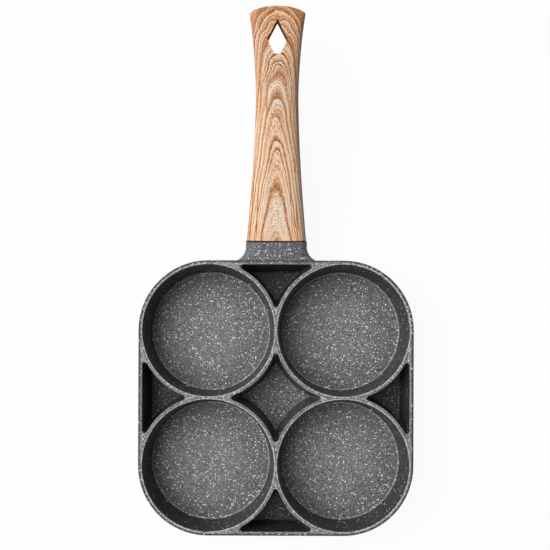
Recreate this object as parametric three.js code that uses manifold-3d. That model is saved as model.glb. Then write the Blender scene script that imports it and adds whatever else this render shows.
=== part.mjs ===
// A four-cup egg pan: one aluminium casting with four round cups and five pockets between them,
// and a moulded grip that slides over the casting's tang and is drawn tight by one screw.
// Millimetres, +Z up, +Y along the handle. The origin is the centre of the base, on the hob.
import * as THREE from 'three';
import { mergeVertices, toCreasedNormals } from 'three/addons/utils/BufferGeometryUtils.js';
import Module from 'manifold-3d';

const wasm = await Module();
wasm.setup();

const degrees = THREE.MathUtils.degToRad;
const lerp = THREE.MathUtils.lerp;

// Driving dimensions of the cast body
const CUP_DIAMETER = 91; // inside the mouth
const CUP_DEPTH = 26;
const CUP_WEB = 2.1; // metal between two neighbouring cups at the rim
const RING_WALL = 2.6; // metal between a cup and a pocket at the rim
const OUTER_WALL = 2.95; // metal between a cup and the outside at the rim
const FLOOR_THICKNESS = 4;
const CAVITY_DRAFT = degrees(5); // cups and pockets narrow downwards
const OUTER_DRAFT = degrees(6); // the outside narrows downwards
const POCKET_TIP_RADIUS = 1.8;
const RIM_INNER_ROUND = 0.6;
const RIM_OUTER_ROUND = 1;
const FLOOR_FILLET = 1.5;
const BASE_ROUND = 4;
const TURNED_PAD_DIAMETER = 172; // the turned face that meets the hob
const TURNED_PAD_STEP = 0.5;

// Driving dimensions of the neck and the tang, which are cast with the body
const HANDLE_RISE = degrees(12);
const NECK_LENGTH = 13; // along the neck's top, from the rim to the shoulder
const NECK_FLARE = 11; // the neck widens by this much on each side where it meets the wall
const NECK_UNDER_FLARE = 4; // and deepens by this much underneath
const NECK_STEP = 0.5; // the neck stands this far proud of the grip
const TANG_LENGTH = 32;
const TANG_WIDTH = 21;
const TANG_THICKNESS = 10;
const TANG_CORNER = 2.5;
const TANG_DRAFT = degrees(1.5);
const TANG_CHAMFER = 1;

// Driving dimensions of the moulded grip
const GRIP_LENGTH = 152;
const GRIP_ROOT_WIDTH = 41.4;
const GRIP_WAIST_WIDTH = 28.6;
const GRIP_END_WIDTH = 36.9;
const GRIP_WAIST_FROM_END = 57;
const GRIP_ROOT_THICKNESS = 20;
const GRIP_WAIST_THICKNESS = 17;
const GRIP_END_THICKNESS = 15.5;
const GRIP_ROOT_CURVE = 1.53; // power of the flare from the waist to the root
const GRIP_END_CURVE = 1.86; // power of the flare from the waist to the end
const GRIP_ROOT_SQUARENESS = 4; // power of the section: 2 is an ellipse
const GRIP_WAIST_SQUARENESS = 2.8;
const GRIP_END_SQUARENESS = 4.5;
const GRIP_END_RADIUS = 46; // plan radius of the rounded end
const GRIP_BOW = 1.2; // rise of the arched centreline at mid length
const GRIP_ROOT_ROUND = 0.5;
const GRIP_END_ROUND = 1;
const HANG_HOLE_LENGTH = 21.5;
const HANG_HOLE_WIDTH = 13.6;
const HANG_HOLE_FLAT = 4.1; // the cut-off corner nearest the pan
const HANG_HOLE_WIDEST = 12.3; // from the far corner to the two side corners
const HANG_HOLE_MARGIN = 8.3; // from the far corner to the grip's end
const SEAT_WALL = 6; // moulded wall that the screw pulls on

// Driving dimensions of the fasteners
const SCREW_DIAMETER = 5;
const SCREW_REACH = 18; // thread inside the tang
const SCREW_HEAD_DIAMETER = 8.5;
const SCREW_HEAD_HEIGHT = 3.4;
const SCREW_CHAMFER = 0.7; // at the point and round the head
const DRIVE_SLOT_WIDTH = 1.3;
const DRIVE_SLOT_LENGTH = 5.2;
const DRIVE_SLOT_DEPTH = 2;
const WASHER_DIAMETER = 9;
const WASHER_THICKNESS = 1;
const SPRING_DIAMETER = 8.8;
const SPRING_THICKNESS = 1.2;
const SPRING_LIFT = 0.5; // one cut end stands above the other
const SPRING_CUT = 1.1; // between the two cut ends, round the mean diameter

// Clearances
const SEAT_GAP = 0.3; // between two faces that are drawn together
const SLIDE_GAP = 0.35; // round the tang in its socket
const SCREW_GAP = 0.3; // round the screw, radially
const CHANNEL_GAP = 0.4; // round the widest of the screw's parts, radially
const TAP_RUNOUT = 3; // blind end of the tapped hole beyond the screw
const OVERLAP = 2; // how far cutting and joining solids run past a face

// Facets
const CUP_STEPS = 48;
const RING_ARC_STEPS = 8;
const TIP_ARC_STEPS = 4;
const CORNER_ARC_STEPS = 12;
const PAD_STEPS = 64;
const SECTION_STEPS = 32;
const ROUND_STEPS = 3;
const NECK_FLARE_STEPS = 5;
const GRIP_SPAN_STEPS = 9;
const SPRING_STEPS = 28;
const SCREW_STEPS = 24;

// Places that follow from the driving dimensions
const cupRadius = CUP_DIAMETER / 2;
const cupOffset = (CUP_DIAMETER + CUP_WEB) / 2; // each cup's centre from both middle planes
const halfSide = cupOffset + cupRadius + OUTER_WALL;
const rimHeight = FLOOR_THICKNESS + CUP_DEPTH;
const ringRadius = cupRadius + RING_WALL;
const neckStart = halfSide - RIM_OUTER_ROUND;
const neckHalfWidth = GRIP_ROOT_WIDTH / 2 + NECK_STEP;
const neckHalfThickness = GRIP_ROOT_THICKNESS / 2 + NECK_STEP;
const gripRoot = SEAT_GAP;
const gripEnd = gripRoot + GRIP_LENGTH;
const gripWaist = gripEnd - GRIP_WAIST_FROM_END;
const holeFar = gripEnd - HANG_HOLE_MARGIN;
const holeWidest = holeFar - HANG_HOLE_WIDEST;
const holeNear = holeFar - HANG_HOLE_LENGTH;
const socketEnd = TANG_LENGTH + 2 * SEAT_GAP;
const seatFace = socketEnd + SEAT_WALL;
const washerFace = seatFace + SEAT_GAP;
const springFace = washerFace + WASHER_THICKNESS + SEAT_GAP;
const headFace = springFace + SPRING_THICKNESS + SPRING_LIFT + SEAT_GAP;
const headTop = headFace + SCREW_HEAD_HEIGHT;
const screwPoint = TANG_LENGTH - SCREW_REACH;
const screwRadius = SCREW_DIAMETER / 2;
const boreRadius = screwRadius + SCREW_GAP;
const channelRadius = Math.max(WASHER_DIAMETER, SPRING_DIAMETER, SCREW_HEAD_DIAMETER) / 2 + CHANNEL_GAP;

// The handle's own frame stands on the shoulder, where neck and grip meet, and +Y runs out along the grip.
// The neck's top line leaves the rim where the rim's outer round begins, and climbs at the handle's rise.
const handle = new THREE.Group();
handle.name = 'handle';
handle.rotation.x = HANDLE_RISE;
handle.position.set(
  0,
  neckStart + NECK_LENGTH * Math.cos(HANDLE_RISE) + neckHalfThickness * Math.sin(HANDLE_RISE),
  rimHeight + NECK_LENGTH * Math.sin(HANDLE_RISE) - neckHalfThickness * Math.cos(HANDLE_RISE),
);
handle.updateMatrix();

// Joins the corners of a geometry and makes a solid of it that can be added and cut.
function toSolid(geometry) {
  const bare = new THREE.BufferGeometry();
  bare.setAttribute('position', geometry.getAttribute('position'));
  bare.setIndex(geometry.index);
  const merged = mergeVertices(bare);
  const corners = merged.index.array;
  const kept = [];
  for (let i = 0; i < corners.length; i += 3) {
    const [a, b, c] = [corners[i], corners[i + 1], corners[i + 2]];
    if (a !== b && b !== c && c !== a) kept.push(a, b, c);
  }
  const vertProperties = merged.getAttribute('position').array;
  return new wasm.Manifold(new wasm.Mesh({ numProp: 3, vertProperties, triVerts: new Uint32Array(kept) }));
}

function toMesh(name, solid, look) {
  const { vertProperties, triVerts } = solid.getMesh();
  const geometry = new THREE.BufferGeometry();
  geometry.setAttribute('position', new THREE.BufferAttribute(vertProperties, 3));
  geometry.setIndex(new THREE.BufferAttribute(triVerts, 1));
  const mesh = new THREE.Mesh(toCreasedNormals(geometry, degrees(30)), new THREE.MeshStandardMaterial(look));
  mesh.name = name;
  return mesh;
}

// Skins a row of closed loops with equally many points and closes both ends.
// An end is laid as rungs between points that mirror each other across the loop's first point.
function skin(loops) {
  const count = loops[0].length;
  const last = (loops.length - 1) * count;
  const positions = loops.flat().flatMap((p) => [p.x, p.y, p.z]);
  const index = [];
  for (let ring = 0; ring < last; ring += count) {
    for (let i = 0; i < count; i++) {
      const a = ring + i;
      const b = ring + ((i + 1) % count);
      index.push(a, b, b + count, a, b + count, a + count);
    }
  }
  for (let k = 0; k + 1 <= count - k - 1; k++) {
    const [a, b, c, d] = [k, k + 1, count - k - 1, (count - k) % count];
    if (b !== c) index.push(a, c, b, last + a, last + b, last + c);
    if (a !== d) index.push(a, d, c, last + a, last + c, last + d);
  }
  const geometry = new THREE.BufferGeometry();
  geometry.setAttribute('position', new THREE.Float32BufferAttribute(positions, 3));
  geometry.setIndex(index);
  return geometry;
}

function cylinderAlongY(radius, from, to) {
  return new THREE.CylinderGeometry(radius, radius, to - from, SCREW_STEPS).translate(0, (from + to) / 2, 0);
}

// Points on an arc, with both of its ends
function arc(centre, radius, from, to, steps) {
  return Array.from({ length: steps + 1 }, (_, i) => {
    const angle = lerp(from, to, i / steps);
    return new THREE.Vector2(centre.x + radius * Math.cos(angle), centre.y + radius * Math.sin(angle));
  });
}

// A rectangle with arcs at its corners, from the middle of its right side
function roundedRectangle(halfWidth, halfHeight, radius, steps) {
  const [x, y] = [halfWidth - radius, halfHeight - radius];
  const quarter = Math.PI / 2;
  return [
    new THREE.Vector2(halfWidth, 0),
    ...arc({ x, y }, radius, 0, quarter, steps),
    ...arc({ x: -x, y }, radius, quarter, 2 * quarter, steps),
    ...arc({ x: -x, y: -y }, radius, 2 * quarter, 3 * quarter, steps),
    ...arc({ x, y: -y }, radius, 3 * quarter, 4 * quarter, steps),
  ];
}

// A rounded section between an ellipse and a rectangle, on a unit square
function sectionOutline(squareness) {
  const bulge = (value) => Math.sign(value) * Math.abs(value) ** (2 / squareness);
  return Array.from({ length: SECTION_STEPS }, (_, i) => {
    const angle = (2 * Math.PI * i) / SECTION_STEPS;
    return new THREE.Vector2(bulge(Math.cos(angle)), bulge(Math.sin(angle)));
  });
}

function level(points, z) {
  return points.map((p) => new THREE.Vector3(p.x, p.y, z));
}

// A flat outline stood across the handle's +Y at one station
function across(points, y) {
  return points.map((p) => new THREE.Vector3(p.x, y, -p.y));
}

// The outside of the casting from base to rim, as heights and insets from the rim outline:
// a rounded base edge, a drafted wall and a rounded rim edge.
function outerProfile() {
  const lean = Math.tan(OUTER_DRAFT);
  const baseCentre = (CUP_DEPTH + FLOOR_THICKNESS - TURNED_PAD_STEP - BASE_ROUND) * lean
    + BASE_ROUND / Math.cos(OUTER_DRAFT);
  const rimCentre = RIM_OUTER_ROUND * lean + RIM_OUTER_ROUND / Math.cos(OUTER_DRAFT);
  const profile = [];
  for (let i = 0; i <= ROUND_STEPS; i++) {
    const angle = ((Math.PI / 2 - OUTER_DRAFT) * i) / ROUND_STEPS;
    const inset = baseCentre - BASE_ROUND * Math.sin(angle);
    profile.push({ inset, z: TURNED_PAD_STEP + BASE_ROUND * (1 - Math.cos(angle)) });
  }
  for (let i = 0; i <= ROUND_STEPS; i++) {
    const angle = lerp(-OUTER_DRAFT, Math.PI / 2, i / ROUND_STEPS);
    const inset = rimCentre - RIM_OUTER_ROUND * Math.cos(angle);
    profile.push({ inset, z: rimHeight - RIM_OUTER_ROUND * (1 - Math.sin(angle)) });
  }
  return profile;
}

// The wall of a cup or pocket from its floor to its open top, as heights and insets from the rim outline:
// a filleted floor, a drafted wall and a rounded rim edge.
function cavityProfile() {
  const turn = Math.PI / 2 - CAVITY_DRAFT;
  const roundFoot = RIM_INNER_ROUND * (1 - Math.sin(CAVITY_DRAFT));
  const wallFoot = (CUP_DEPTH - roundFoot) * Math.tan(CAVITY_DRAFT);
  const filletCentre = wallFoot + FLOOR_FILLET * Math.tan(turn / 2);
  const profile = [];
  for (let i = ROUND_STEPS; i >= 0; i--) {
    const angle = CAVITY_DRAFT + (turn * i) / ROUND_STEPS;
    const inset = filletCentre - FLOOR_FILLET * Math.cos(angle);
    profile.push({ inset, z: FLOOR_THICKNESS + FLOOR_FILLET * (1 - Math.sin(angle)) });
  }
  for (let i = ROUND_STEPS; i >= 0; i--) {
    const angle = (turn * i) / ROUND_STEPS;
    const inset = RIM_INNER_ROUND * (Math.sin(angle) - 1);
    profile.push({ inset, z: rimHeight - RIM_INNER_ROUND * (1 - Math.cos(angle)) });
  }
  profile.push({ inset: -RIM_INNER_ROUND, z: rimHeight + OVERLAP });
  return profile;
}

// The casting's outside: rounded squares whose corners share their centres with the cups
function outerShell() {
  const loops = outerProfile().map(({ inset, z }) => {
    const half = halfSide - inset;
    return level(roundedRectangle(half, half, half - cupOffset, CORNER_ARC_STEPS), z);
  });
  return skin(loops);
}

function turnedPad() {
  const radius = TURNED_PAD_DIAMETER / 2;
  const height = TURNED_PAD_STEP + OVERLAP;
  const disc = new THREE.CylinderGeometry(radius, radius, height, PAD_STEPS);
  return disc.rotateX(Math.PI / 2).translate(0, 0, height / 2);
}

// A cup is the cavity profile turned about its own axis.
function cup(x, y) {
  const profile = cavityProfile();
  const outline = [new THREE.Vector2(0, FLOOR_THICKNESS)];
  for (const { inset, z } of profile) outline.push(new THREE.Vector2(cupRadius - inset, z));
  outline.push(new THREE.Vector2(0, rimHeight + OVERLAP));
  return new THREE.LatheGeometry(outline, CUP_STEPS).rotateX(Math.PI / 2).translate(x, y, 0);
}

// A pocket at the outer wall on the +X side, from its inner tip: two ring walls and the outer wall
// bound it, and a small arc rounds each of its three tips.
function sidePocketOutline(inset) {
  const ring = ringRadius + inset;
  const reach = ring + POCKET_TIP_RADIUS;
  const cupCentre = { x: cupOffset, y: cupOffset };
  const innerTip = { x: cupOffset + Math.sqrt(reach ** 2 - cupOffset ** 2), y: 0 };
  const outerX = cupOffset + cupRadius - inset - POCKET_TIP_RADIUS;
  const outerTip = { x: outerX, y: cupOffset - Math.sqrt(reach ** 2 - (outerX - cupOffset) ** 2) };
  const innerAngle = Math.atan2(innerTip.y - cupOffset, innerTip.x - cupOffset);
  const outerAngle = Math.atan2(outerTip.y - cupOffset, outerTip.x - cupOffset);
  const upper = [
    ...arc(innerTip, POCKET_TIP_RADIUS, Math.PI, innerAngle + Math.PI, TIP_ARC_STEPS / 2),
    ...arc(cupCentre, ring, innerAngle, outerAngle, RING_ARC_STEPS).slice(1),
    ...arc(outerTip, POCKET_TIP_RADIUS, outerAngle + Math.PI, 0, TIP_ARC_STEPS).slice(1),
  ];
  const lower = upper.map((p) => new THREE.Vector2(p.x, -p.y));
  return [...lower, ...upper.slice(1).reverse()];
}

// The pocket in the middle, from its tip on +X: four ring walls bound it, and an arc rounds each tip.
function middlePocketOutline(inset) {
  const ring = ringRadius + inset;
  const reach = ring + POCKET_TIP_RADIUS;
  const tip = cupOffset - Math.sqrt(reach ** 2 - cupOffset ** 2);
  const lean = Math.atan2(cupOffset, cupOffset - tip);
  const cupCentre = { x: cupOffset, y: cupOffset };
  const right = Math.PI / 2;
  const quarter = [
    ...arc({ x: tip, y: 0 }, POCKET_TIP_RADIUS, 0, lean, TIP_ARC_STEPS / 2),
    ...arc(cupCentre, ring, lean + 2 * right, 3 * right - lean, RING_ARC_STEPS).slice(1),
    ...arc({ x: 0, y: tip }, POCKET_TIP_RADIUS, right - lean, right, TIP_ARC_STEPS / 2).slice(1, -1),
  ];
  const origin = new THREE.Vector2();
  return [0, 1, 2, 3].flatMap((turn) => quarter.map((p) => p.clone().rotateAround(origin, turn * right)));
}

function pocket(outline) {
  return skin(cavityProfile().map(({ inset, z }) => level(outline(inset), z)));
}

// The neck runs from the outer wall to the shoulder. Each point of the shoulder's outline is carried back
// along the handle to the drafted wall, and spreads into it as a fillet on both sides and underneath.
function neck() {
  const axis = new THREE.Vector3(0, Math.cos(HANDLE_RISE), Math.sin(HANDLE_RISE));
  const lean = Math.tan(OUTER_DRAFT);
  const rails = sectionOutline(GRIP_ROOT_SQUARENESS).map((p) => {
    const shoulder = new THREE.Vector3(p.x * neckHalfWidth, 0, -p.y * neckHalfThickness);
    shoulder.applyMatrix4(handle.matrix);
    const gap = shoulder.y - halfSide + (rimHeight - shoulder.z) * lean;
    const run = gap / (axis.y - axis.z * lean);
    const spread = new THREE.Vector3(p.x * NECK_FLARE, 0, Math.min(-p.y, 0) * NECK_UNDER_FLARE);
    return { shoulder, run, spread };
  });
  const loop = (share, fade) => rails.map(({ shoulder, run, spread }) => {
    const back = run - Math.min(run, NECK_FLARE) * share;
    return shoulder.clone().addScaledVector(axis, -back).addScaledVector(spread, fade);
  });
  const inside = rails.map(({ shoulder, run, spread }) => {
    return shoulder.clone().addScaledVector(axis, -run - OUTER_WALL / 2).add(spread);
  });
  const loops = [inside];
  for (let i = 0; i <= NECK_FLARE_STEPS; i++) {
    const angle = (Math.PI / 2) * (i / NECK_FLARE_STEPS);
    loops.push(loop(1 - Math.cos(angle), 1 - Math.sin(angle)));
  }
  loops.push(rails.map(({ shoulder }) => shoulder));
  return skin(loops);
}

// The tang, or with a gap round it the socket that takes it
function tang(from, to, gap, chamfer) {
  const outline = (y, inset) => {
    const shrink = Math.max(y, 0) * Math.tan(TANG_DRAFT) + inset - gap;
    const corner = TANG_CORNER - inset + gap;
    return across(roundedRectangle(TANG_WIDTH / 2 - shrink, TANG_THICKNESS / 2 - shrink, corner, 3), y);
  };
  return skin([outline(from, 0), outline(to - chamfer, 0), outline(to, chamfer)]);
}

// One loop of the grip's skin. Towards the end the loops bend so that the last one follows the end's arc.
function gripLoop(y, inset) {
  const front = y < gripWaist;
  const span = front ? (gripWaist - y) / (gripWaist - gripRoot) : (y - gripWaist) / (gripEnd - gripWaist);
  const flare = span ** (front ? GRIP_ROOT_CURVE : GRIP_END_CURVE);
  const halfWidth = lerp(GRIP_WAIST_WIDTH, front ? GRIP_ROOT_WIDTH : GRIP_END_WIDTH, flare) / 2 - inset;
  const thickness = lerp(GRIP_WAIST_THICKNESS, front ? GRIP_ROOT_THICKNESS : GRIP_END_THICKNESS, flare);
  const squareness = lerp(GRIP_WAIST_SQUARENESS, front ? GRIP_ROOT_SQUARENESS : GRIP_END_SQUARENESS, span);
  const along = (y - gripRoot) / GRIP_LENGTH;
  const centre = 4 * GRIP_BOW * along * (1 - along);
  const bend = front ? 0 : span ** 2;
  return sectionOutline(squareness).map((p) => {
    const x = p.x * halfWidth;
    const sag = GRIP_END_RADIUS - Math.sqrt(GRIP_END_RADIUS ** 2 - x ** 2);
    return new THREE.Vector3(x, y - bend * sag, centre - p.y * (thickness / 2 - inset));
  });
}

// The grip's outside: a rounded root edge, the run to the waist, the run to the end and a rounded end edge
function gripBlank() {
  const loops = [];
  const first = gripRoot + GRIP_ROOT_ROUND;
  const last = gripEnd - GRIP_END_ROUND;
  for (let i = 0; i <= ROUND_STEPS; i++) {
    const angle = ((Math.PI / 2) * i) / ROUND_STEPS;
    loops.push(gripLoop(first - GRIP_ROOT_ROUND * Math.cos(angle), GRIP_ROOT_ROUND * (1 - Math.sin(angle))));
  }
  for (let i = 1; i <= GRIP_SPAN_STEPS; i++) {
    loops.push(gripLoop(lerp(first, gripWaist, i / GRIP_SPAN_STEPS), 0));
  }
  for (let i = 1; i < GRIP_SPAN_STEPS; i++) {
    loops.push(gripLoop(lerp(gripWaist, last, i / GRIP_SPAN_STEPS), 0));
  }
  for (let i = 0; i <= ROUND_STEPS; i++) {
    const angle = ((Math.PI / 2) * i) / ROUND_STEPS;
    loops.push(gripLoop(last + GRIP_END_ROUND * Math.sin(angle), GRIP_END_ROUND * (1 - Math.cos(angle))));
  }
  return skin(loops);
}

// The hang hole is a diamond with its corner nearest the pan cut off.
function hangHole() {
  const outline = new THREE.Shape([
    new THREE.Vector2(0, holeFar),
    new THREE.Vector2(-HANG_HOLE_WIDTH / 2, holeWidest),
    new THREE.Vector2(-HANG_HOLE_FLAT / 2, holeNear),
    new THREE.Vector2(HANG_HOLE_FLAT / 2, holeNear),
    new THREE.Vector2(HANG_HOLE_WIDTH / 2, holeWidest),
  ]);
  const depth = 2 * GRIP_ROOT_THICKNESS;
  return new THREE.ExtrudeGeometry(outline, { depth, bevelEnabled: false }).translate(0, 0, -depth / 2);
}

// The screw is turned in one profile from its point to its head, and its cross recess is cut afterwards.
function screw() {
  const headRadius = SCREW_HEAD_DIAMETER / 2;
  const outline = [
    new THREE.Vector2(0, screwPoint),
    new THREE.Vector2(screwRadius - SCREW_CHAMFER, screwPoint),
    new THREE.Vector2(screwRadius, screwPoint + SCREW_CHAMFER),
    new THREE.Vector2(screwRadius, headFace),
    new THREE.Vector2(headRadius, headFace),
    new THREE.Vector2(headRadius, headTop - SCREW_CHAMFER),
    new THREE.Vector2(headRadius - SCREW_CHAMFER, headTop),
    new THREE.Vector2(0, headTop),
  ];
  const turned = toSolid(new THREE.LatheGeometry(outline, SCREW_STEPS));
  const slot = (width, length) => {
    const box = new THREE.BoxGeometry(width, DRIVE_SLOT_DEPTH + OVERLAP, length);
    return toSolid(box.translate(0, headTop - DRIVE_SLOT_DEPTH + (DRIVE_SLOT_DEPTH + OVERLAP) / 2, 0));
  };
  const recess = slot(DRIVE_SLOT_WIDTH, DRIVE_SLOT_LENGTH).add(slot(DRIVE_SLOT_LENGTH, DRIVE_SLOT_WIDTH));
  return turned.subtract(recess);
}

function plainWasher() {
  const top = washerFace + WASHER_THICKNESS;
  const outline = [
    new THREE.Vector2(boreRadius, washerFace),
    new THREE.Vector2(WASHER_DIAMETER / 2, washerFace),
    new THREE.Vector2(WASHER_DIAMETER / 2, top),
    new THREE.Vector2(boreRadius, top),
    new THREE.Vector2(boreRadius, washerFace),
  ];
  return new THREE.LatheGeometry(outline, SCREW_STEPS);
}

// A square wire bent round once, cut through, with one end lifted
function springWasher() {
  const outer = SPRING_DIAMETER / 2;
  const halfCut = SPRING_CUT / (outer + boreRadius);
  const loops = Array.from({ length: SPRING_STEPS + 1 }, (_, i) => {
    const share = i / SPRING_STEPS;
    const angle = lerp(halfCut, 2 * Math.PI - halfCut, share);
    const low = springFace + SPRING_LIFT * share;
    const corner = (radius, y) => new THREE.Vector3(radius * Math.cos(angle), y, -radius * Math.sin(angle));
    const high = low + SPRING_THICKNESS;
    return [corner(outer, low), corner(boreRadius, low), corner(boreRadius, high), corner(outer, high)];
  });
  return skin(loops);
}

const coating = { color: 0x5d5d5e, roughness: 0.55, metalness: 0.2 };
const grain = { color: 0xc69a68, roughness: 0.5, metalness: 0 };
const steel = { color: 0xb4b8bc, roughness: 0.35, metalness: 1 };

function panBody() {
  const tapped = cylinderAlongY(boreRadius, screwPoint - TAP_RUNOUT, TANG_LENGTH + OVERLAP);
  const tongue = tang(-OVERLAP, TANG_LENGTH, 0, TANG_CHAMFER);
  let body = toSolid(outerShell()).add(toSolid(turnedPad())).add(toSolid(neck()));
  body = body.add(toSolid(tongue.applyMatrix4(handle.matrix)));
  for (const x of [-cupOffset, cupOffset]) {
    for (const y of [-cupOffset, cupOffset]) body = body.subtract(toSolid(cup(x, y)));
  }
  for (const turn of [0, 1, 2, 3]) {
    body = body.subtract(toSolid(pocket(sidePocketOutline).rotateZ((turn * Math.PI) / 2)));
  }
  body = body.subtract(toSolid(pocket(middlePocketOutline)));
  return body.subtract(toSolid(tapped.applyMatrix4(handle.matrix)));
}

function handleGrip() {
  return toSolid(gripBlank())
    .subtract(toSolid(tang(-OVERLAP, socketEnd, SLIDE_GAP, 0)))
    .subtract(toSolid(cylinderAlongY(boreRadius, socketEnd - OVERLAP, seatFace + OVERLAP)))
    .subtract(toSolid(cylinderAlongY(channelRadius, seatFace, holeWidest)))
    .subtract(toSolid(hangHole()));
}

handle.add(toMesh('handle_grip', handleGrip(), grain));
handle.add(toMesh('handle_screw', screw(), steel));
handle.add(toMesh('plain_washer', toSolid(plainWasher()), steel));
handle.add(toMesh('spring_washer', toSolid(springWasher()), steel));

const pan = new THREE.Group();
pan.name = 'egg_pan';
pan.add(toMesh('pan_body', panBody(), coating), handle);

export default pan;
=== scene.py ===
# %% [markdown]
# A four-cup egg pan, seen from straight above.
# The real pan is one aluminium casting with a speckled non-stick coating, and a moulded grip with a
# printed wood grain. The frame holds the plain solids of the same parts. This lesson builds a finer skin
# over the two parts that show, gives every surface its finish, and sets up a soft studio light and the
# camera.

import math

import bmesh
import bpy
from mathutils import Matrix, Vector


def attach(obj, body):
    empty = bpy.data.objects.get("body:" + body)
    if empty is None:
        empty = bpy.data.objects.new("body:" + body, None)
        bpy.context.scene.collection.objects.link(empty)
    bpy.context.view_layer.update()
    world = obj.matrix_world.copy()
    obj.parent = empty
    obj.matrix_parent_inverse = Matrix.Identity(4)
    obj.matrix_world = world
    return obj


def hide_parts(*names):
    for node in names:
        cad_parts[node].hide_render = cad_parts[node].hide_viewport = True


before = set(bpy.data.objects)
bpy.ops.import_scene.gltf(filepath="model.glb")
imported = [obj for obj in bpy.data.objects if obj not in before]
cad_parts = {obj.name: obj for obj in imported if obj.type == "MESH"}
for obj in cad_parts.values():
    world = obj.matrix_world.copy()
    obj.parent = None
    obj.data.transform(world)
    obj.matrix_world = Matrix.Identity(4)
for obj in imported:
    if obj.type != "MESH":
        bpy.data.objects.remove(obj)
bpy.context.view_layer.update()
print("parts in the frame:", sorted(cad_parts))

# %% [markdown]
# Every size below is a real size in millimetres, as a pan maker would write it on a drawing, and MM turns
# it into Blender's metres. The fine skins follow the same drawing as the solids, so they fit without any
# nudging. A smooth part is drawn as a stack of closed outlines with a skin stretched over them. A cube
# with a bevel would be quicker, but it can't give the draft on a cast wall or the swell of a grip.

# %% A skin over a stack of outlines
MM = 0.001


def put(name, data):
    """A mesh, lamp or camera, as a new object in the scene."""
    made = bpy.data.objects.new(name, data)
    bpy.context.scene.collection.objects.link(made)
    return made


def skin(name, outlines, centre_line=False):
    """A closed piece over outlines with equally many points. Its two ends are single faces, or with a
    centre_line they are strips between the points that face each other across it."""
    mesh = bmesh.new()
    rings = [[mesh.verts.new(Vector(point) * MM) for point in outline] for outline in outlines]
    count = len(rings[0])
    for lower, upper in zip(rings, rings[1:]):
        for i in range(count):
            j = (i + 1) % count
            mesh.faces.new((lower[i], lower[j], upper[j], upper[i]))
    for ring in (list(reversed(rings[0])), rings[-1]):
        if not centre_line:
            mesh.faces.new(ring)
            continue
        start = 0 if ring is rings[-1] else count - 1
        ring = ring[start:] + ring[:start]
        for i in range(count // 2):
            strip = dict.fromkeys((ring[i], ring[i + 1], ring[count - i - 1], ring[-i]))
            if len(strip) > 2:
                mesh.faces.new(list(strip))
    bmesh.ops.recalc_face_normals(mesh, faces=mesh.faces)
    data = bpy.data.meshes.new(name)
    mesh.to_mesh(data)
    mesh.free()
    return put(name, data)


def share(first, last, steps):
    """Evenly spaced values from first to last, both of them included."""
    return [first + (last - first) * i / steps for i in range(steps + 1)]


def arc(centre, radius, first, last, steps):
    """Points on a flat arc between two angles, both ends included."""
    turns = share(first, last, steps)
    return [(centre[0] + radius * math.cos(a), centre[1] + radius * math.sin(a)) for a in turns]


def lay_flat(points, height):
    """A flat outline laid level at a height."""
    return [(x, y, height) for x, y in points]


print("one millimetre is", MM, "of Blender's units")

# %% [markdown]
# The outside of the casting is a square whose rounded corners share their centres with the four cups. Its
# wall leans outwards, because a casting has to slide out of its mould, and both of its edges are rounded.
# The heights and insets of that wall come from two arcs. Each pair gives one outline of the stack.

# %% The outside of the casting
CUP_DIAMETER = 91.0
CUP_DEPTH = 26.0
CUP_WEB = 2.1
OUTER_WALL = 2.95
FLOOR_THICKNESS = 4.0
OUTER_DRAFT = math.radians(6)
RIM_OUTER_ROUND = 1.0
BASE_ROUND = 4.0
TURNED_PAD_STEP = 0.5
ROUND_STEPS = 6
CORNER_STEPS = 36
QUARTER = math.pi / 2

cup_radius = CUP_DIAMETER / 2
cup_offset = (CUP_DIAMETER + CUP_WEB) / 2
half_side = cup_offset + cup_radius + OUTER_WALL
rim_height = FLOOR_THICKNESS + CUP_DEPTH


def rounded_rectangle(half_width, half_height, radius, steps):
    x, y = half_width - radius, half_height - radius
    corners = [(x, y), (-x, y), (-x, -y), (x, -y)]
    points = [(half_width, 0.0)]
    for turn, corner in enumerate(corners):
        points += arc(corner, radius, turn * QUARTER, (turn + 1) * QUARTER, steps)
    return points


def outer_wall_profile():
    lean = math.tan(OUTER_DRAFT)
    wall_height = rim_height - TURNED_PAD_STEP - BASE_ROUND
    base_centre = wall_height * lean + BASE_ROUND / math.cos(OUTER_DRAFT)
    rim_centre = RIM_OUTER_ROUND * (lean + 1 / math.cos(OUTER_DRAFT))
    wall = 2 * QUARTER + OUTER_DRAFT
    base = arc((base_centre, TURNED_PAD_STEP + BASE_ROUND), BASE_ROUND, 3 * QUARTER, wall, ROUND_STEPS)
    rim = arc((rim_centre, rim_height - RIM_OUTER_ROUND), RIM_OUTER_ROUND, wall, QUARTER, ROUND_STEPS)
    return base + rim


outside = []
for inset, height in outer_wall_profile():
    half = half_side - inset
    outside.append(lay_flat(rounded_rectangle(half, half, half - cup_offset, CORNER_STEPS), height))
cast_pan = skin("cast_pan", outside)
print("casting outside:", [round(size / MM, 1) for size in cast_pan.dimensions], "mm")

# %% [markdown]
# Underneath, the foundry turns the middle of the base on a lathe, so that it meets the hob flat and bare.
# The tool leaves fine rings. They could be a bump texture, but rings of real metal also show at the edge
# of the base and under any light, so each ridge and groove here is one more circle in the stack.

# %% The turned base
TURNED_PAD_DIAMETER = 172.0
RING_PITCH = 1.8
RING_DEPTH = 0.07
PAD_CHAMFER = 0.3
PAD_STEPS = 128
OVERLAP = 2.0


def circle(radius, steps, centre=(0, 0)):
    return arc(centre, radius, 0, 2 * math.pi, steps)[:-1]


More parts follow.
